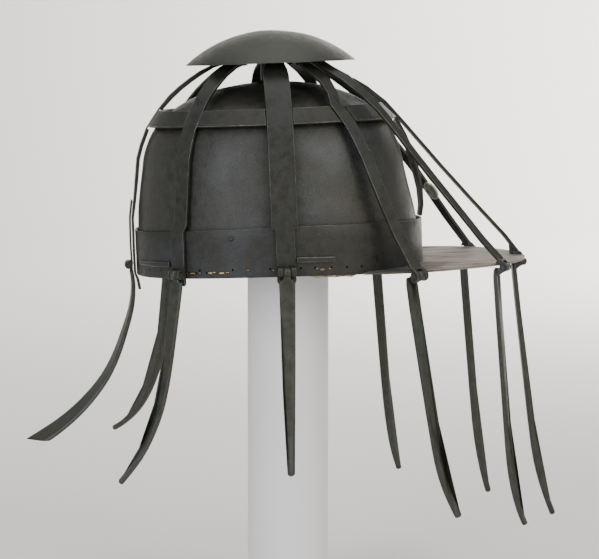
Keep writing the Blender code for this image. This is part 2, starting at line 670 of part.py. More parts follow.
def leg(name):
    line, halves, depths, twist, drift = LEGS[name]
    hinge = HingeFrame(name)
    lengths = [0.0]
    for (r0, w0), (r1, w1) in zip(line, line[1:]):
        lengths.append(lengths[-1] + math.hypot(r1 - r0, w1 - w0))
    rows = []
    for i, (r, w) in enumerate(line):
        share = lengths[i] / lengths[-1]
        rows.append((r, w, share, 1.0))
    r1, w1 = line[-1]
    r0, w0 = line[-2]
    step = math.hypot(r1 - r0, w1 - w0)
    if name != "rear":
        reach = 1.1
        rows.append((r1 + (r1 - r0) / step * reach, w1 + (w1 - w0) / step * reach, 1.0, 0.62))
    sections = []
    for i, (r, w, share, scale) in enumerate(rows):
        low, high = max(0, i - 1), min(len(rows) - 1, i + 1)
        dr, dw = rows[high][0] - rows[low][0], rows[high][1] - rows[low][1]
        size = math.hypot(dr, dw)
        dr, dw = dr / size, dw / size
        if i == 0:
            dr, dw = 0.0, -1.0
        half = thirds(halves, share) * scale
        deep = thirds(depths, share) * scale
        cut = (0.45 + 0.55 * min(1.0, share * 1.6)) * deep * 0.75
        cut_side = min(cut, half * 0.6)
        turn = math.radians(twist * min(1.0, share * 1.3))
        loop = []
        for s, n in ((half, cut - deep), (half, deep - cut), (half - cut_side, deep),
                     (cut_side - half, deep), (-half, deep - cut), (-half, cut - deep),
                     (cut_side - half, -deep), (half - cut_side, -deep)):
            s2 = s * math.cos(turn) - n * math.sin(turn)
            n2 = s * math.sin(turn) + n * math.cos(turn)
            # The face normal lies in the swing plane, turned from the line.
            pr, pw = r - dw * n2, w + dr * n2
            if name == "rear" and i == len(rows) - 1:
                shift = (w - pw) / dw
                pr, pw = pr + dr * shift, pw + dw * shift
            loop.append(hinge.at(pr, pw, s2 + drift * share ** 1.3))
        sections.append(loop)
    obj = body("leg_" + name, *ringed(sections), "blackened_steel")
    if hinge.place == "rear":
        tongue = arc(3.0, -100, 180, 8) + [(-3.05, -1.0), (-3.1, -7.5), (-0.8, -7.5)]
    elif hinge.place == "band":
        tongue = arc(hinge.radius - 0.2, -100, 180, 8)
        tongue += [(-3.5, -1.0), (-3.95, -4.5), (-3.95, -8.0), (-1.6, -8.0)]
    else:
        inner = line[0][0] - depths[0] + 0.1
        top = brim_z(hinge.pin.x) - BRIM_WALL - GAP - 0.45 - hinge.pin.z
        top = max(-2.6, min(-0.75, top))
        eye = hinge.radius - 0.2
        tongue = arc(eye, -60, 180 + math.degrees(math.asin(-top / eye)), 8)
        tongue += [(inner, top), (inner, top - 3.6), (inner + 2.6, top - 6.0), (-1.6, -3.9)]
    combine(obj, body(obj.name + "_eye", *hinge.prism(tongue, -TONGUE, TONGUE)), "UNION")
    combine(obj, body(obj.name + "_bore", *hinge.disc(BORE_RADIUS, -12, 12)), "DIFFERENCE")


def pin(name):
    hinge = HingeFrame(name)
    reach = 6.9 if name.startswith("side") else 6.1
    body("pin_" + name, *hinge.disc(PIN_RADIUS, -reach, reach), "blackened_steel")


# Rear strap
def rear_strap():
    """A thin strap outside the rear rib carries that leg's hinge."""
    hinge = HingeFrame("rear")
    rows = []
    for r, w in ((-3.8, 49.3), (-2.8, 42.5), (-1.9, 36.5), (-1.6, 26.0), (-1.5, 12.0),
                 (-1.7, 4.0), (-2.0, 0.6)):
        rows.append((hinge.at(r, w), hinge.out, 5.4, 0.0, 1.4))
    obj = body("hinge_strap_rear", *strip(rows), "blackened_steel")
    lug = arc(hinge.radius, 15, 375, 12)[:-1]
    combine(obj, body("strap_lug", *hinge.prism(lug, -5.6, 5.6)), "UNION")
    slot = [(-5.0, -5.6), (9.0, -5.6), (9.0, 4.6), (-5.0, 4.6)]
    combine(obj, body("strap_slot", *hinge.prism(slot, -3.0, 3.0)), "DIFFERENCE")
    combine(obj, body("strap_bore", *hinge.disc(BORE_RADIUS, -12, 12)), "DIFFERENCE")


# Small parts
def band_bar(name, start, end, steps):
    """A short flat bar lying along the band."""
    sections = []
    for k in range(steps + 1):
        angle = start + (end - start) * k / steps
        z = rim_z(angle) + (10.6 if name.endswith("rear") else 12.2)
        tall = 1.6 if name.endswith("rear") and k < steps // 2 else 2.0
        deep = 1.4 if name.endswith("rear") and k < steps // 2 else 2.0
        sections.append([
            band_point(angle, z - tall, GAP), band_point(angle, z - tall, GAP + deep),
            band_point(angle, z + tall, GAP + deep), band_point(angle, z + tall, GAP),
        ])
    body(name, *ringed(sections), "blackened_steel")


def rivet(name, angle, z, radius, out):
    p = band_point(angle, z)
    t = math.radians(angle)
    face = Vector((math.cos(t) / BAND_A, math.sin(t) / BAND_B, 0)).normalized()
    side = Vector((-face.y, face.x, 0))
    points, faces, loops = [], [], []
    for share, rise in ((1.0, 0.0), (0.94, 0.5), (0.66, 1.05)):
        loops.append(len(points))
        for k in range(12):
            c = 2 * math.pi * k / 12
            spread = side * math.cos(c) * radius * share
            spread += Vector((0, 0, math.sin(c) * radius * share))
            points.append(p + face * (out + rise) + spread)
    for a, b in zip(loops, loops[1:]):
        for k in range(12):
            faces.append((a + k, a + (k + 1) % 12, b + (k + 1) % 12, b + k))
    faces.append(tuple(range(12)))
    faces.append(tuple(range(loops[-1], loops[-1] + 12)))
    body(name, points, faces, "blackened_steel")


SEAL_SHIFT = 4.0            # how far the seal overhangs its stay's edge


def seal():
    """An oval of lead on the inner face of the left front stay."""
    centre = Vector((130.5, 66.3, 51.2))
    along = Vector((27.7, 1.6, -42.2)).normalized()
    t = math.radians(33.4)
    out = Vector((math.cos(t), math.sin(t), 0))
    out = (out - along * out.dot(along)).normalized()
    side = along.cross(out)
    sections = []
    for depth, share in ((0.0, 1.0), (1.6, 1.0), (2.4, 0.84)):
        loop = []
        for k in range(20):
            c = 2 * math.pi * k / 20
            spread = side * (SEAL_SHIFT + math.cos(c) * 5.5 * share)
            spread += along * math.sin(c) * 8.2 * share
            loop.append(centre - out * (RIB_WALL + GAP + depth) + spread)
        sections.append(loop)
    body("lead_seal", *ringed(sections), "lead")


def lining():
    """What is left of the leather lining, just inside the lower edge."""
    sections = []
    for k in range(25):
        angle = -152.0 + 90.0 * k / 24
        low = rim_z(angle) + 0.6
        if 0 < angle + 76.5 < 13.0 or -5.0 < angle + 76.5 <= 0:
            low = rim_z(angle) - 1.2 - 0.5 * (k % 2)
        top = rim_z(angle) + 4.9
        a, b = BAND_A - BAND_WALL - 0.5, BAND_B - BAND_WALL - 0.5
        sections.append([
            polar(a, b, angle, low), polar(a, b, angle, top),
            polar(a - 1.1, b - 1.1, angle, top), polar(a - 1.1, b - 1.1, angle, low),
        ])
    body("lining_strip", *ringed(sections), "buff_leather")


# Stand
def stand():
    """A plain round post under the crown, on a plain round foot."""
    steps = 28
    crown = RIM_HEIGHT + 141.4
    profile = [(0, crown), (14, crown - 1.0), (25, crown - 3.6),
               (POST_RADIUS, crown - 8.0), (POST_RADIUS, FOOT_THICK + GAP),
               (0, FOOT_THICK + GAP)]
    turned("stand_post", profile, "white_post", POST_X, steps, settle=False)
    profile = [(0, FOOT_THICK), (FOOT_RADIUS - 1.5, FOOT_THICK), (FOOT_RADIUS, FOOT_THICK - 1.5),
               (FOOT_RADIUS, 0), (0, 0)]
    turned("stand_foot", profile, "white_post", POST_X, 32, settle=False)


def build():
    skull()
    band()
    peak = brim()
    dome_ribs()
    stays()
    front_rib()
    ring()
    top_plate()
    for name in HINGES:
        leg(name)
        pin(name)
        hinge = HingeFrame(name)
        if hinge.place == "brim":
            notch = [(-4.5, -6), (12, -6), (12, 6), (-4.5, 6)]
            combine(peak, body("notch_" + name, *hinge.prism(notch, -7, 7)), "DIFFERENCE")
    rear_strap()
    band_bar("band_bar_rear", -167.0, -141.5, 6)
    band_bar("band_bar_side", -88.6, -73.6, 4)
    rivet("band_rivet", -113.2, BAND_TOP - 2.6, 2.0, GAP)
    seal()
    lining()
    stand()


build()
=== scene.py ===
import math

import bmesh
import bpy
import numpy as np
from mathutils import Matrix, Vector, noise


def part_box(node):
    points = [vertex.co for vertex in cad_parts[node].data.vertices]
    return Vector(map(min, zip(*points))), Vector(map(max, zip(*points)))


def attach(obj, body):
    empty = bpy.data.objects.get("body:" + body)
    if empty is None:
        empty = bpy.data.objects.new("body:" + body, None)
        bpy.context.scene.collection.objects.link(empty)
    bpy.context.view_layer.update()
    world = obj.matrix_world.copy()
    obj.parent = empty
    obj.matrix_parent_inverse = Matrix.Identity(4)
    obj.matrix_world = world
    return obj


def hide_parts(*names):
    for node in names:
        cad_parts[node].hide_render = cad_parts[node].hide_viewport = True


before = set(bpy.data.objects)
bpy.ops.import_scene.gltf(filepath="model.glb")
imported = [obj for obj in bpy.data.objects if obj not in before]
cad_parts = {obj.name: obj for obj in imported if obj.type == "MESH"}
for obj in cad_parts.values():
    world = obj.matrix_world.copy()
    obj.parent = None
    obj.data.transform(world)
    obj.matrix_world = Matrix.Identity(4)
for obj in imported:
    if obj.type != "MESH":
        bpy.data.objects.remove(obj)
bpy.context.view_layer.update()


# Studio
# A pale paper sweep on the floor, curved up behind the stand, with soft light
# from both sides and a camera on a long lens a little above the rim.
SWEEP_FRONT, SWEEP_BACK, SWEEP_RADIUS, SWEEP_TOP = -4.5, 4.6, 1.4, 3.6
SWEEP_HALF, SWEEP_STEPS = 4.5, 24
PAPER = "#eceae7"
# Where the camera stands, and the way it looks along, reversed.
CAMERA_AT = (-0.1533, -1.4833, 0.4300)
CAMERA_BACK = (-0.10219, -0.98888, 0.10800)
CAMERA_LENS, CAMERA_SHIFT = 117.2, (0.0321, -0.0167)


def linear(text):
    """The linear red, green, blue and alpha of an sRGB hex colour."""
    values = [int(text[i:i + 2], 16) / 255 for i in (1, 3, 5)]
    return [v / 12.92 if v < 0.04045 else ((v + 0.055) / 1.055) ** 2.4 for v in values] + [1.0]


def add(tree, kind, inputs=None, **settings):
    """Adds a node with its settings; an input is a value or another node's socket."""
    made = tree.nodes.new(kind)
    for key, value in settings.items():
        setattr(made, key, value)
    for key, value in (inputs or {}).items():
        if isinstance(value, bpy.types.NodeSocket):
            tree.links.new(value, made.inputs[key])
        else:
            made.inputs[key].default_value = value
    return made


def blank(name):
    """A new material with only its Principled shader left, and that shader."""
    material = bpy.data.materials.new(name)
    material.use_nodes = True
    shader = next(n for n in material.node_tree.nodes if n.type == "BSDF_PRINCIPLED")
    return material, material.node_tree, shader


def new_object(name, points, faces, materials, smooth=True):
    mesh = bpy.data.meshes.new(name)
    mesh.from_pydata([tuple(p) for p in points], [], faces)
    made = bpy.data.objects.new(name, mesh)
    bpy.context.scene.collection.objects.link(made)
    for material in materials:
        mesh.materials.append(material)
    if smooth:
        mesh.shade_smooth()
    return made


paper, tree, shader = blank("sweep_paper")
shader.inputs["Base Color"].default_value = linear(PAPER)
shader.inputs["Roughness"].default_value = 0.9
profile = [(SWEEP_FRONT, 0.0), (SWEEP_BACK - SWEEP_RADIUS, 0.0)]
for k in range(1, SWEEP_STEPS + 1):
    turn = math.radians(90 * k / SWEEP_STEPS)
    profile.append((SWEEP_BACK - SWEEP_RADIUS + SWEEP_RADIUS * math.sin(turn),
                    SWEEP_RADIUS - SWEEP_RADIUS * math.cos(turn)))
profile.append((SWEEP_BACK, SWEEP_TOP))
points = [(x, y, z) for y, z in profile for x in (-SWEEP_HALF, SWEEP_HALF)]
faces = [(2 * i, 2 * i + 1, 2 * i + 3, 2 * i + 2) for i in range(len(profile) - 1)]
new_object("floor_sweep", points, faces, [paper])

# Name, place, aim, width, height, watts, colour.
LAMPS = [
    ("lamp_right", (1.5, -1.85, 1.4), (0.0, 0.0, 0.3), 1.3, 1.5, 31.0, "#fff8f0"),
    ("lamp_left", (-1.25, -1.8, 1.0), (0.0, 0.0, 0.3), 0.7, 1.6, 23.0, "#f1f3ff"),
    ("lamp_top", (0.0, -0.2, 2.3), (0.0, 0.0, 0.3), 1.8, 1.8, 22.0, "#ffffff"),
    ("lamp_backdrop", (2.3, 2.0, 1.8), (2.0, 3.4, 0.6), 2.0, 1.6, 290.0, "#fff9f3"),
]
for name, place, aim, wide, high, watts, colour in LAMPS:
    light = bpy.data.lights.new(name, "AREA")
    light.shape = "RECTANGLE"
    light.size, light.size_y = wide, high
    light.energy = watts
    light.color = linear(colour)[:3]
    lamp = bpy.data.objects.new(name, light)
    lamp.location = place
    lamp.rotation_euler = (Vector(aim) - Vector(place)).to_track_quat("-Z", "Y").to_euler()
    bpy.context.scene.collection.objects.link(lamp)

world = bpy.data.worlds.new("studio_air")
world.use_nodes = True
air = world.node_tree.nodes["Background"]
air.inputs["Color"].default_value = linear("#d8d9dc")
air.inputs["Strength"].default_value = 0.7
bpy.context.scene.world = world

camera = bpy.data.objects.new("camera", bpy.data.cameras.new("camera"))
camera.location = CAMERA_AT
camera.rotation_euler = (-Vector(CAMERA_BACK)).to_track_quat("-Z", "Y").to_euler()
camera.data.sensor_width = 36.0
camera.data.lens = CAMERA_LENS
camera.data.shift_x, camera.data.shift_y = CAMERA_SHIFT
bpy.context.scene.collection.objects.link(camera)
bpy.context.scene.camera = camera


# Skull
# A one-piece raised bowl of 1.6 mm iron sheet, oil-blackened, planished by
# hammer, so its face rolls gently. It stands in the band, which is riveted on.
MM = 0.001
TILT = math.radians(2.15)
RIM_HEIGHT = 268.0
SHEET = 1.6
# Height, half length, half width, shift along the length, in millimetres.
SKULL_LEVELS = [
    (8.0, 107.6, 89.6, 0.0), (36.0, 106.9, 89.2, -0.8), (58.0, 103.9, 86.8, -2.2),
    (78.0, 100.6, 84.4, -2.8), (94.0, 97.2, 81.6, -3.2), (109.0, 90.4, 76.2, -3.4),
    (122.0, 79.0, 67.0, -3.0), (132.0, 63.0, 54.0, -3.0), (139.0, 44.0, 38.0, -2.2),
    (143.2, 21.5, 18.8, -1.0), (144.4, 0.0, 0.0, -1.0),
]
SKULL_CROWN, SKULL_STEPS, SKULL_SIDES = (-1.0, 0, 144.2), 7, 144
# How far the lower edge rises over the ears; it dies out up to FLAT_ABOVE.
ARCH, FLAT_ABOVE = 4.65, 144.0
# The hammer's roll, as waves to the millimetre and depth in millimetres, and how
# far the face lies inside the solid's to leave room for it.
ROLL, ROLL_ROOM = [(0.045, 0.45), (0.16, 0.12)], 0.25


def settled(x, y, z):
    """A point of the helmet's own frame, in millimetres, as it stands on the post."""
    c, s = math.cos(TILT), math.sin(TILT)
    return Vector((x * c - z * s, y, x * s + z * c + RIM_HEIGHT)) * MM


def blackened(name, black, brown, slate, mottle=1.0, rough=0.46, pits=0.5):
    """Oil-blackened iron: satin, olive black, browner and bluer in clouds, and
    finely pitted. The clouds are 60 mm wide, the mottle 6 mm, the pits 1 mm."""
    material, tree, shader = blank(name)
    place = add(tree, "ShaderNodeTexCoord").outputs["Object"]
    clouds = add(tree, "ShaderNodeTexNoise", {"Vector": place, "Scale": 17.0, "Detail": 3.0})
    fine = add(tree, "ShaderNodeTexNoise", {"Vector": place, "Scale": 170.0, "Detail": 5.0,
                                            "Roughness": 0.65})
    grit = add(tree, "ShaderNodeTexNoise", {"Vector": place, "Scale": 900.0, "Detail": 2.0})
    browning = add(tree, "ShaderNodeMapRange", {"Value": clouds.outputs["Fac"], "From Min": 0.5,
                                                "From Max": 0.72, "To Max": 0.8 * mottle})
    bluing = add(tree, "ShaderNodeMapRange", {"Value": clouds.outputs["Fac"], "From Min": 0.48,
                                              "From Max": 0.3, "To Max": 0.9 * mottle})
    warm = add(tree, "ShaderNodeMix", {0: browning.outputs[0], 6: linear(black),
                                       7: linear(brown)}, data_type="RGBA")
    cool = add(tree, "ShaderNodeMix", {0: bluing.outputs[0], 6: warm.outputs[2],
                                       7: linear(slate)}, data_type="RGBA")
    value = add(tree, "ShaderNodeMapRange", {"Value": fine.outputs["Fac"], "From Min": 0.3,
                                             "From Max": 0.7, "To Min": 0.7, "To Max": 1.3})
    speck = add(tree, "ShaderNodeMapRange", {"Value": grit.outputs["Fac"], "From Min": 0.66,
                                             "From Max": 0.78, "To Min": 1.0,
                                             "To Max": 1.0 + pits})
    spot = add(tree, "ShaderNodeMapRange", {"Value": grit.outputs["Fac"], "From Min": 0.38,
                                            "From Max": 0.28, "To Min": 1.0, "To Max": 0.45})
    bright = add(tree, "ShaderNodeMath", {0: value.outputs[0], 1: speck.outputs[0]},
                 operation="MULTIPLY")
    both = add(tree, "ShaderNodeMath", {0: bright.outputs[0], 1: spot.outputs[0]},
               operation="MULTIPLY")
    tone = add(tree, "ShaderNodeVectorMath", {0: cool.outputs[2], 1: both.outputs[0]},
               operation="MULTIPLY")
    tree.links.new(tone.outputs[0], shader.inputs["Base Color"])
    sheen = add(tree, "ShaderNodeMapRange", {"Value": fine.outputs["Fac"], "From Min": 0.3,
                                             "From Max": 0.7, "To Min": rough - 0.1,
                                             "To Max": rough + 0.12})
    tree.links.new(sheen.outputs[0], shader.inputs["Roughness"])
    shader.inputs["Metallic"].default_value = 0.35
    height = add(tree, "ShaderNodeMath", {0: fine.outputs["Fac"], 1: grit.outputs["Fac"]},
                 operation="ADD")
    bump = add(tree, "ShaderNodeBump", {"Height": height.outputs[0], "Strength": 0.35,
                                        "Distance": 0.0004})
    tree.links.new(bump.outputs[0], shader.inputs["Normal"])
    return material


def smooth_rows(rows, steps):
    """Catmull-Rom rows between the rows of a table."""
    rows = [np.array(r, float) for r in rows]
    rows = [2 * rows[0] - rows[1], *rows, 2 * rows[-1] - rows[-2]]
    made = []
    for a, b, c, d in zip(rows, rows[1:], rows[2:], rows[3:]):
        for k in range(steps):
            t = k / steps
            made.append(0.5 * (2 * b + (c - a) * t + (2 * a - 5 * b + 4 * c - d) * t ** 2
                               + (3 * b - a - 3 * c + d) * t ** 3))
    return made + [rows[-2]]


sheet_black = blackened("blackened_iron_sheet", "#32332e", "#38362e", "#404447")
around = SKULL_SIDES
rows = smooth_rows(SKULL_LEVELS, SKULL_STEPS)[:-1]
points, faces = [], []
for z, a, b, cx in rows:
    a, b = max(a, 0.6), max(b, 0.5)
    for k in range(around):
        t = 2 * math.pi * k / around
        lift = ARCH * math.sin(t) ** 2 * max(0.0, 1 - z / FLAT_ABOVE)
        p = Vector((a * math.cos(t), b * math.sin(t), z))
        rolled = sum(depth * noise.noise(p * waves) for waves, depth in ROLL)
        # No roll behind the band, and less of it toward the crown.
        fade = min(1.0, max(0.0, (z - 34) / 12)) * min(1.0, a / 60)
        q = p + Vector((math.cos(t), math.sin(t), 0)) * (rolled * fade - ROLL_ROOM)
        points.append(settled(q.x + cx, q.y, q.z + lift))
for i in range(len(rows) - 1):
    for k in range(around):
        n = (k + 1) % around
        faces.append((i * around + k, i * around + n, (i + 1) * around + n, (i + 1) * around + k))
points.append(settled(*SKULL_CROWN))
last = (len(rows) - 1) * around
for k in range(around):
    faces.append((last + k, last + (k + 1) % around, len(points) - 1))
skull = new_object("skull_bowl", points, faces, [sheet_black])
wall = skull.modifiers.new("sheet", "SOLIDIFY")
wall.thickness = SHEET * MM
wall.offset = -1.0
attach(skull, "helmet_on_stand")
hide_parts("skull")


# Skull band
# A flat iron strap bent to an oval and closed round the skull's foot, pierced
# along its lower edge to sew the lining in. Its rounded edges are greyer: partly
# rubbed to bare iron, partly painted highlight.
EDGE = 0.45
# The least bend that shows as a line and the most that counts as flat, in degrees;
# the shortest corner that is rounded and the reach of a leg's eye, in millimetres.
LINE, FLAT, SHORTEST, EYE_REACH = 16.0, 0.6, 1.2, 6.0


def edge_wear_and_highlight(name, bare_and_highlight, black):
    """The rounded corner of a bar: greyer and smoother, unevenly over runs of 4 to
    30 mm. Partly bare iron where handling has thinned the black, partly painted highlight."""
    material, tree, shader = blank(name)
    place = add(tree, "ShaderNodeTexCoord").outputs["Object"]
    speckle_breakup = add(tree, "ShaderNodeTexNoise", {"Vector": place, "Scale": 260.0, "Detail": 4.0,
                                             "Roughness": 0.7})
    runs = add(tree, "ShaderNodeTexNoise", {"Vector": place, "Scale": 32.0, "Detail": 2.0})
    both = add(tree, "ShaderNodeMath", {0: speckle_breakup.outputs["Fac"], 1: runs.outputs["Fac"]},
               operation="ADD")
    bare_and_highlight_share = add(tree, "ShaderNodeMapRange", {"Value": both.outputs[0], "From Min": 0.85,
                                            "From Max": 1.3})
    tone = add(tree, "ShaderNodeMix", {0: bare_and_highlight_share.outputs[0], 6: linear(black), 7: linear(bare_and_highlight)},
               data_type="RGBA")
    tree.links.new(tone.outputs[2], shader.inputs["Base Color"])
    shader.inputs["Metallic"].default_value = 0.5
    shader.inputs["Roughness"].default_value = 0.36
    return material


def rounded(node, body, materials, edge=EDGE, crease=38.0, smooth=False, merge=0.15,
            above=0.0, eye=None):
    """The CAD solid's own shape with its corners rounded above a height; the rounded
    corners take the second material. smooth also softens the bends along a bar, but
    not near its eye, whose bore keeps its clearance round the pin."""
    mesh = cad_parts[node].data.copy()
    shape = bmesh.new()
    shape.from_mesh(mesh)
    bmesh.ops.remove_doubles(shape, verts=shape.verts, dist=merge * MM)
    bmesh.ops.dissolve_degenerate(shape, dist=0.02 * MM, edges=shape.edges)
    bmesh.ops.dissolve_limit(shape, angle_limit=math.radians(FLAT), verts=shape.verts,
                             edges=shape.edges)
    if smooth:
        bmesh.ops.join_triangles(shape, faces=shape.faces, angle_face_threshold=0.5,
                                 angle_shape_threshold=1.2)
    if eye:
        cheeks = [face for face in shape.faces if len(face.verts) > 4
                  and min((vertex.co - eye).length for vertex in face.verts) < EYE_REACH * MM]
        bmesh.ops.triangulate(shape, faces=cheeks)
    weight = shape.edges.layers.float.new("bevel_weight_edge")
    kept = shape.edges.layers.float.new("crease_edge")
    for side in shape.edges:
        if eye and max((vertex.co - eye).length for vertex in side.verts) < EYE_REACH * MM:
            side[kept] = 1.0
            continue
        bend = side.calc_face_angle() if len(side.link_faces) == 2 else 0.0
        high = min(vertex.co.z for vertex in side.verts) > above * MM
        if bend > math.radians(crease) and high and side.calc_length() > SHORTEST * MM:
            side[weight] = 1.0
        elif bend > math.radians(LINE):
            side.smooth = smooth
    for face in shape.faces:
        face.smooth = True
        face.material_index = 0
    shape.to_mesh(mesh)
    shape.free()
    mesh.materials.clear()
    for material in materials:
        mesh.materials.append(material)
    made = bpy.data.objects.new(node + "_forged", mesh)
    bpy.context.scene.collection.objects.link(made)
    corner = made.modifiers.new("corners", "BEVEL")
    corner.width = edge * MM
    corner.segments = 2
    corner.limit_method = "WEIGHT"
    corner.use_clamp_overlap = False
    corner.material = min(1, len(materials) - 1)
    corner.harden_normals = False
    if smooth:
        soft = made.modifiers.new("soft_bends", "SUBSURF")
        soft.levels = 1
        soft.render_levels = 1
    else:
        flat = made.modifiers.new("flat_faces", "WEIGHTED_NORMAL")
        flat.keep_sharp = True
        flat.weight = 100
    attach(made, body)
    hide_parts(node)
    return made


# Half length, half width and height of the top edge. The lower edge falls toward
# the front, by BAND_FALL of the half length, and rises as much at the back.
BAND = {"a": 110.0, "b": 92.0, "top": 36.3}
BAND_FALL, BAND_SIDES = 0.02, 280
# The least bend of the pierced strap that shows as a line, in degrees.
BAND_LINE = 46.0
# Angle from the front, height over the rim, half width, half height, corners.
HOLES = [(side * angle, 6.0, 0.85, 0.85, 12) for side in (-1, 1)
         for angle in (62, 68.5, 75, 81.5, 87, 98.5, 107, 113, 127, 148, 157)]
HOLES += [(-131.0, 4.2, 5.2, 0.7, 4), (-122.1, 4.2, 3.9, 0.7, 4), (-116.6, 4.2, 4.3, 0.7, 4),
          (-54.3, 11.2, 0.4, 2.2, 4)]
# Across the strap: height share, height added and how far in, in millimetres.
STRAP = [(0, 0, 0.35), (0, 0.1, 0.1), (0, 0.35, 0), (0, 2.4, 0), (0, 7.8, 0), (0.35, 3, 0),
         (0.7, 2, 0), (1, -0.4, 0), (1, -0.12, 0.12), (1, 0, 0.4), (1, 0, 1.4), (1, -0.4, 1.8),
         (0, 0.3, 1.8), (0, 0, 1.5)]
# The steps of that table that make the outer top corner. It takes the grey edge
# colour: partly rubbed iron, partly painted highlight along the top edge.
TOP_CORNER = (7, 8)
# How far the drills reach inside and outside the strap's outer face.
DRILL = (-2.6, 2.0)


def on_band(angle, share, rise, out=0.0):
    """A point over the rim's line: share 0 is the rim, 1 the strap's top edge."""
    t = math.radians(angle)
    lift = ARCH * math.sin(t) ** 2
    low, top = lift - BAND_FALL * BAND["a"] * math.cos(t), lift + BAND["top"]
    return Vector(((BAND["a"] + out) * math.cos(t), (BAND["b"] + out) * math.sin(t),
                   low + (top - low) * share + rise))


strap_black = blackened("blackened_iron_strap", "#292a25", "#322f27", "#363b3f")
# Grey for the strap's rounded corners: partly bare iron, partly painted highlight.
edge_iron_highlit = edge_wear_and_highlight("iron_edge_worn_and_highlit", "#55564e", "#34352f")
points, faces, around = [], [], BAND_SIDES
for k in range(around):
    for share, rise, inward in STRAP:
        points.append(settled(*on_band(360 * k / around, share, rise, -inward)))
deep = len(STRAP)
for k in range(around):
    n = (k + 1) % around
    for i in range(deep):
        j = (i + 1) % deep
        faces.append((k * deep + i, k * deep + j, n * deep + j, n * deep + i))
band = new_object("skull_band_strap", points, faces, [strap_black, edge_iron_highlit])
for polygon in band.data.polygons:
    if polygon.index % deep in TOP_CORNER:
        polygon.material_index = 1
points, faces = [], []
for angle, rise, wide, high, corners in HOLES:
    t = math.radians(angle)
    out = Vector((math.cos(t) / BAND["a"], math.sin(t) / BAND["b"], 0)).normalized()
    side = Vector((-out.y, out.x, 0))
    start = len(points)
    for depth in DRILL:
        for k in range(corners):
            c = 2 * math.pi * (k + 0.5) / corners
            # A slit is measured across its flats, a round hole to its corners.
            reach = 1.414 if corners == 4 else 1.0
            p = on_band(angle, 0, rise) + out * depth + side * wide * math.cos(c) * reach
            points.append(settled(p.x, p.y, p.z + high * math.sin(c) * reach))
    for k in range(corners):
        n = (k + 1) % corners
        faces.append((start + k, start + n, start + corners + n, start + corners + k))
    faces.append(tuple(range(start, start + corners))[::-1])
    faces.append(tuple(range(start + corners, start + 2 * corners)))
drills = new_object("sewing_holes", points, faces, [], smooth=False)
for made in (band, drills):
    shape = bmesh.new()
    shape.from_mesh(made.data)
    bmesh.ops.recalc_face_normals(shape, faces=shape.faces)
    shape.to_mesh(made.data)
    shape.free()
pierce = band.modifiers.new("pierced", "BOOLEAN")
pierce.operation = "DIFFERENCE"
pierce.solver = "EXACT"
pierce.object = drills
bpy.context.view_layer.update()
seen = band.evaluated_get(bpy.context.evaluated_depsgraph_get())
pierced = bpy.data.meshes.new_from_object(seen)
band.modifiers.clear()
band.data = pierced
pierced.shade_smooth()
pierced.set_sharp_from_angle(angle=math.radians(BAND_LINE))
bpy.data.objects.remove(drills)
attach(band, "helmet_on_stand")
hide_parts("skull_band")


# Lining
# What is left of a buff leather lining sewn inside the lower edge: a strip
# torn off ragged, golden where the fibres stand out below the rim.
leather, tree, shader = blank("buff_leather")
place = add(tree, "ShaderNodeTexCoord").outputs["Object"]
fibre = add(tree, "ShaderNodeTexNoise", {"Vector": place, "Scale": 420.0, "Detail": 6.0})
stain = add(tree, "ShaderNodeTexNoise", {"Vector": place, "Scale": 60.0, "Detail": 3.0})
mixed = add(tree, "ShaderNodeMath", {0: fibre.outputs["Fac"], 1: stain.outputs["Fac"]},
            operation="MULTIPLY")
share = add(tree, "ShaderNodeMapRange", {"Value": mixed.outputs[0], "From Min": 0.18,
                                         "From Max": 0.36})
tone = add(tree, "ShaderNodeMix", {0: share.outputs[0], 6: linear("#7a5f36"),
                                   7: linear("#dcc596")}, data_type="RGBA")
tree.links.new(tone.outputs[2], shader.inputs["Base Color"])
shader.inputs["Roughness"].default_value = 0.85
bump = add(tree, "ShaderNodeBump", {"Height": fibre.outputs["Fac"], "Strength": 0.6,
                                    "Distance": 0.0006})
tree.links.new(bump.outputs[0], shader.inputs["Normal"])
# Near black: painted shade in the plugs behind the holes; also the colour of the lining strip's
# rounded edges.
hole_shade_leather, tree, shader = blank("painted_hole_shade_dark_leather")
place = add(tree, "ShaderNodeTexCoord").outputs["Object"]
dark_noise = add(tree, "ShaderNodeTexNoise", {"Vector": place, "Scale": 900.0, "Detail": 2.0})
tone = add(tree, "ShaderNodeMix", {0: dark_noise.outputs["Fac"], 6: linear("#0f0e0c"),
                                   7: linear("#1d1913")}, data_type="RGBA")
tree.links.new(tone.outputs[2], shader.inputs["Base Color"])
shader.inputs["Roughness"].default_value = 0.85
lining = rounded("lining_strip", "helmet_on_stand", [leather, hole_shade_leather],
                 edge=0.2)
# Fibres pushed out through the slits and holes: angle, height, half length, half height.
TUFTS = [(-133.2, 4.1, 1.0, 0.4), (-130.4, 4.0, 2.6, 0.45), (-127.0, 4.3, 0.7, 0.4),
         (-122.6, 4.1, 2.0, 0.6), (-120.6, 4.4, 1.2, 0.5), (-117.6, 4.0, 2.2, 0.6),
         (-115.2, 4.2, 1.4, 0.5), (-107.0, 5.8, 0.7, 0.5), (-80.6, 5.6, 0.8, 0.6),
         (-78.6, 4.6, 2.2, 0.8), (-75.6, 5.2, 1.2, 0.7), (-97.4, 5.0, 0.7, 0.5)]
# Painted shade: a near-black plug behind each hole, so the hole reads dark inside.
HOLE_SHADE_PLUGS = [(angle, rise, max(1.5, wide + 0.4), max(1.5, high + 0.5))
        for angle, rise, wide, high, corners in HOLES[:-1]]
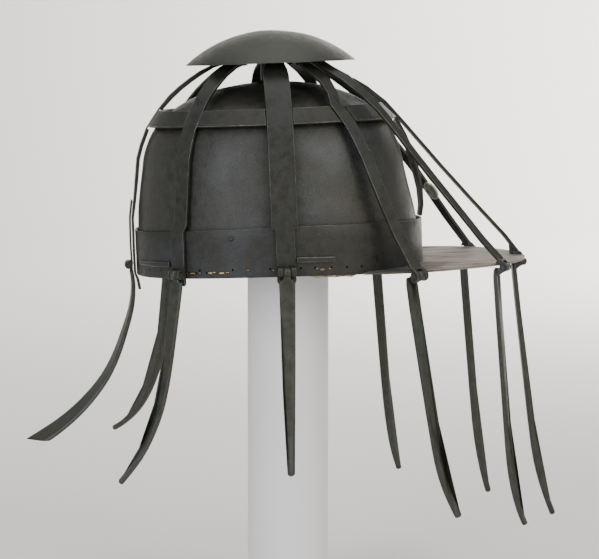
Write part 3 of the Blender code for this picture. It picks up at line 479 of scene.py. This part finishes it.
# For the tufts and for the shade plugs: how far from the band's face, and half thickness.
TUCKED = [(-0.35, 0.6), (-2.1, 0.25)]
shape = bmesh.new()
shape.from_mesh(lining.data)
for index, (blobs, (depth, thick)) in enumerate(zip((TUFTS, HOLE_SHADE_PLUGS), TUCKED)):
    for angle, rise, wide, high in blobs:
        t = math.radians(angle)
        out = Vector((math.cos(t), math.sin(t) * BAND["a"] / BAND["b"], 0)).normalized()
        middle = on_band(angle, 0, rise, depth)
        blob = bmesh.ops.create_icosphere(shape, subdivisions=2, radius=1.0)["verts"]
        for vertex in blob:
            x, y, z = vertex.co
            ragged = 1.0 + 0.5 * noise.noise(vertex.co * 2.3 + Vector((angle, 0, 0)))
            p = middle + Vector((-out.y, out.x, 0)) * x * wide * ragged
            p += out * y * thick
            vertex.co = settled(p.x, p.y, p.z + z * high * ragged)
        for face in {face for vertex in blob for face in vertex.link_faces}:
            face.material_index = index
            face.smooth = True
shape.to_mesh(lining.data)
shape.free()


# Cage
# Flat wrought bars bent over the skull, halved where they cross the ring and
# hammered flush, then blackened with it. Each lower end is a forked lug.
bar_black = blackened("blackened_wrought_bar", "#292a24", "#322e25", "#323536",
                      mottle=0.8, pits=0.9)
# Grey for the rounded corners of the bars, plate, peak, strap and fittings: partly bare iron,
# partly painted highlight.
bar_edge_highlit = edge_wear_and_highlight("bar_corner_worn_and_highlit", "#696a60", "#3e3f37")
# A side rib's lug has corners too fine to round, so rounding starts above it.
SIDE_LUG_TOP = 284.0
for name in ("rear", "rear_right", "rear_left", "side_right", "side_left",
             "corner_right", "corner_left", "front"):
    rounded("rib_" + name, "helmet_on_stand", [bar_black, bar_edge_highlit],
            edge=0.3, merge=0.03, above=SIDE_LUG_TOP if name.startswith("side") else 0.0)
rounded("ring_band", "helmet_on_stand", [bar_black, bar_edge_highlit])


# Stays
# Narrower bars that leave the dome and run straight down to the peak, where
# each foot is forked round its leg's eye.
for name in ("front_right", "front_left", "front_centre"):
    rounded("stay_" + name, "helmet_on_stand", [bar_black, bar_edge_highlit],
            edge=0.3)


# Top plate
# A shallow domed plate of 1.8 mm iron on a short boss, with a thin rim.
plate_black = blackened("blackened_plate", "#3b3c33", "#403b2f", "#40423f",
                        mottle=0.6, rough=0.44, pits=0.4)
# Painted shade: the plate is darker toward the rim, over its lowest 10 mm.
tree = plate_black.node_tree
shader = next(n for n in tree.nodes if n.type == "BSDF_PRINCIPLED")
place = add(tree, "ShaderNodeTexCoord").outputs["Object"]
along = add(tree, "ShaderNodeSeparateXYZ", {0: place})
shade = add(tree, "ShaderNodeMapRange", {"Value": along.outputs[2], "From Min": 0.427,
                                         "From Max": 0.438, "To Min": 0.6, "To Max": 1.0})
tone = add(tree, "ShaderNodeVectorMath", {0: shader.inputs["Base Color"].links[0].from_socket,
                                          1: shade.outputs[0]}, operation="MULTIPLY")
tree.links.new(tone.outputs[0], shader.inputs["Base Color"])
PLATE = {"radius": 65.0, "rise": 24.7, "rim": 158.5, "wall": 1.8, "shift": -1.5}
PLATE_RINGS, PLATE_SIDES, PLATE_LIP = 27, 120, 2.2
# Waves to the millimetre and depth of its roll, and the room left for it.
PLATE_WAVES, PLATE_ROLL, PLATE_ROOM = 0.05, 0.25, 0.2
bend = (PLATE["radius"] ** 2 + PLATE["rise"] ** 2) / (2 * PLATE["rise"])
outer = []
for k in range(PLATE_RINGS + 1):
    r = PLATE["radius"] * (k / PLATE_RINGS) ** 0.9
    outer.append((r, PLATE["rim"] + math.sqrt(bend ** 2 - r ** 2) - (bend - PLATE["rise"])))
inner = [(max(0.0, r - PLATE["wall"] * r / bend), z - PLATE["wall"]) for r, z in outer]
inner[-1] = (PLATE["radius"] - PLATE_LIP, PLATE["rim"])
turns = PLATE_SIDES
points, faces, rings = [], [], []
for r, z in outer[1:] + inner[:0:-1]:
    rings.append(len(points))
    for k in range(turns):
        t = 2 * math.pi * k / turns
        p = Vector((PLATE["shift"] + r * math.cos(t), r * math.sin(t), z))
        p.z += PLATE_ROLL * noise.noise(p * PLATE_WAVES) - PLATE_ROOM
        points.append(settled(*p))
for a, b in zip(rings, rings[1:]):
    for k in range(turns):
        n = (k + 1) % turns
        faces.append((a + k, a + n, b + n, b + k))
for start, (r, z) in ((rings[0], outer[0]), (rings[-1], inner[0])):
    points.append(settled(PLATE["shift"], 0, z - PLATE_ROOM))
    for k in range(turns):
        faces.append((start + k, start + (k + 1) % turns, len(points) - 1))
plate = new_object("top_plate_domed", points, faces, [plate_black, bar_edge_highlit])
shape = bmesh.new()
shape.from_mesh(plate.data)
bmesh.ops.recalc_face_normals(shape, faces=shape.faces)
shape.to_mesh(plate.data)
shape.free()
# The rounded rim takes the grey edge colour: partly worn iron, partly painted highlight.
corner = plate.modifiers.new("corners", "BEVEL")
corner.width = 0.4 * MM
corner.segments = 2
corner.angle_limit = math.radians(40)
corner.material = 1
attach(plate, "helmet_on_stand")
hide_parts("top_plate")
rounded("crown_boss", "helmet_on_stand", [bar_black, bar_edge_highlit])


# Peak
# A flat half-oval of iron sheet let in under the band. The black is worn off
# its upper face, which is grey-brown with rust in streaks along the peak.
peak_iron, tree, shader = blank("worn_iron_peak")
place = add(tree, "ShaderNodeTexCoord").outputs["Object"]
stretched = add(tree, "ShaderNodeMapping", {"Vector": place, "Scale": (0.25, 1.0, 1.0)})
streak = add(tree, "ShaderNodeTexNoise", {"Vector": stretched.outputs[0], "Scale": 150.0,
                                          "Detail": 5.0, "Roughness": 0.65})
patch = add(tree, "ShaderNodeTexNoise", {"Vector": place, "Scale": 28.0, "Detail": 4.0})
speck = add(tree, "ShaderNodeTexNoise", {"Vector": place, "Scale": 600.0, "Detail": 2.0})
rusted = add(tree, "ShaderNodeMapRange", {"Value": streak.outputs["Fac"], "From Min": 0.5,
                                          "From Max": 0.68})
grey = add(tree, "ShaderNodeMix", {0: rusted.outputs[0], 6: linear("#857d72"),
                                   7: linear("#5f5142")}, data_type="RGBA")
# Darker near the band, fading out up to 135 mm forward: a painted reflection of the
# dark band above, added to the leftover black patches.
along = add(tree, "ShaderNodeSeparateXYZ", {0: place})
band_reflection_ramp = add(tree, "ShaderNodeMapRange", {"Value": along.outputs[0], "From Min": 0.085,
                                           "From Max": 0.135, "To Min": 0.34, "To Max": 0.0})
black_patches_and_reflection = add(tree, "ShaderNodeMath", {0: patch.outputs["Fac"], 1: band_reflection_ramp.outputs[0]},
             operation="ADD")
black_and_reflection_share = add(tree, "ShaderNodeMapRange", {"Value": black_patches_and_reflection.outputs[0], "From Min": 0.55,
                                           "From Max": 0.78, "To Max": 0.85})
tone = add(tree, "ShaderNodeMix", {0: black_and_reflection_share.outputs[0], 6: grey.outputs[2],
                                   7: linear("#37352d")}, data_type="RGBA")
tree.links.new(tone.outputs[2], shader.inputs["Base Color"])
shader.inputs["Metallic"].default_value = 0.15
shader.inputs["Specular IOR Level"].default_value = 0.25
sheen = add(tree, "ShaderNodeMapRange", {"Value": streak.outputs["Fac"], "From Min": 0.3,
                                         "From Max": 0.7, "To Min": 0.5, "To Max": 0.75})
tree.links.new(sheen.outputs[0], shader.inputs["Roughness"])
height = add(tree, "ShaderNodeMath", {0: streak.outputs["Fac"], 1: speck.outputs["Fac"]},
             operation="ADD")
bump = add(tree, "ShaderNodeBump", {"Height": height.outputs[0], "Strength": 0.3,
                                    "Distance": 0.0004})
tree.links.new(bump.outputs[0], shader.inputs["Normal"])
# Its rounded corners take the grey edge colour: partly worn iron, partly painted highlight.
peak = rounded("brim", "helmet_on_stand", [peak_iron, bar_edge_highlit, sheet_black],
               edge=0.3)
for polygon in peak.data.polygons:
    if polygon.normal.z < -0.5:
        polygon.material_index = 2


# Hinge pins and the rear strap
# Plain iron pins through the forked lugs. The rear leg's hinge is carried by
# a thin strap lapped on the outside of its rib.
LEG_NAMES = ("rear", "rear_right", "rear_left", "side_right", "side_left", "corner_right",
             "corner_left", "front_right", "front_left", "front_centre")
pin_iron = blackened("blackened_pin", "#3b3b33", "#45392c", "#3c3e3c",
                     mottle=0.8, rough=0.42, pits=0.6)
for name in LEG_NAMES:
    rounded("pin_" + name, "helmet_on_stand", [pin_iron], edge=0.25)
rounded("hinge_strap_rear", "helmet_on_stand", [bar_black, bar_edge_highlit],
        edge=0.3)


# Legs
# Ten tapering iron straps drawn out to blunt tips, each hung on its pin by a
# narrow eye. The rear one is a broad blade with a slant end.
leg_black = blackened("blackened_leg", "#383a31", "#3e3a2f", "#3e423f",
                      mottle=0.8, rough=0.42, pits=0.25)
for name in LEG_NAMES:
    low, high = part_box("pin_" + name)
    rounded("leg_" + name, "leg_" + name, [leg_black],
            edge=0.35, crease=30.0, smooth=True, eye=(Vector(low) + Vector(high)) / 2)


# Small fittings
# Two short bars and a rivet on the band, and an oval lead seal, cast with a
# raised rim and rubbed smooth, on the left front stay.
for name in ("band_bar_rear", "band_bar_side", "band_rivet"):
    rounded(name, "helmet_on_stand", [bar_black, bar_edge_highlit],
            edge=0.75 if name.startswith("band_bar") else 0.3)
lead, tree, shader = blank("cast_lead")
place = add(tree, "ShaderNodeTexCoord").outputs["Object"]
lumps = add(tree, "ShaderNodeTexNoise", {"Vector": place, "Scale": 240.0, "Detail": 3.0})
share = add(tree, "ShaderNodeMapRange", {"Value": lumps.outputs["Fac"], "From Min": 0.35,
                                         "From Max": 0.65})
tone = add(tree, "ShaderNodeMix", {0: share.outputs[0], 6: linear("#8f8b7d"),
                                   7: linear("#c9c5b8")}, data_type="RGBA")
tree.links.new(tone.outputs[2], shader.inputs["Base Color"])
shader.inputs["Metallic"].default_value = 0.7
shader.inputs["Roughness"].default_value = 0.5
bump = add(tree, "ShaderNodeBump", {"Height": lumps.outputs["Fac"], "Strength": 0.8,
                                    "Distance": 0.0008})
tree.links.new(bump.outputs[0], shader.inputs["Normal"])
rounded("lead_seal", "helmet_on_stand", [lead], edge=0.5, crease=25.0)


# Stand
# A turned post and foot, painted matt white: a soft surface with the faint
# unevenness of a rolled coat.
paint, tree, shader = blank("matt_white_paint")
place = add(tree, "ShaderNodeTexCoord").outputs["Object"]
roll = add(tree, "ShaderNodeTexNoise", {"Vector": place, "Scale": 700.0, "Detail": 2.0})
cloud = add(tree, "ShaderNodeTexNoise", {"Vector": place, "Scale": 9.0, "Detail": 2.0})
tone = add(tree, "ShaderNodeMix", {0: cloud.outputs["Fac"], 6: linear("#ebe9e7"),
                                   7: linear("#f3f1f0")}, data_type="RGBA")
tree.links.new(tone.outputs[2], shader.inputs["Base Color"])
shader.inputs["Roughness"].default_value = 0.62
bump = add(tree, "ShaderNodeBump", {"Height": roll.outputs["Fac"], "Strength": 0.12,
                                    "Distance": 0.0002})
tree.links.new(bump.outputs[0], shader.inputs["Normal"])
rounded("stand_post", "helmet_on_stand", [paint], edge=0.6, crease=20.0)
rounded("stand_foot", "helmet_on_stand", [paint], edge=0.8, crease=30.0)
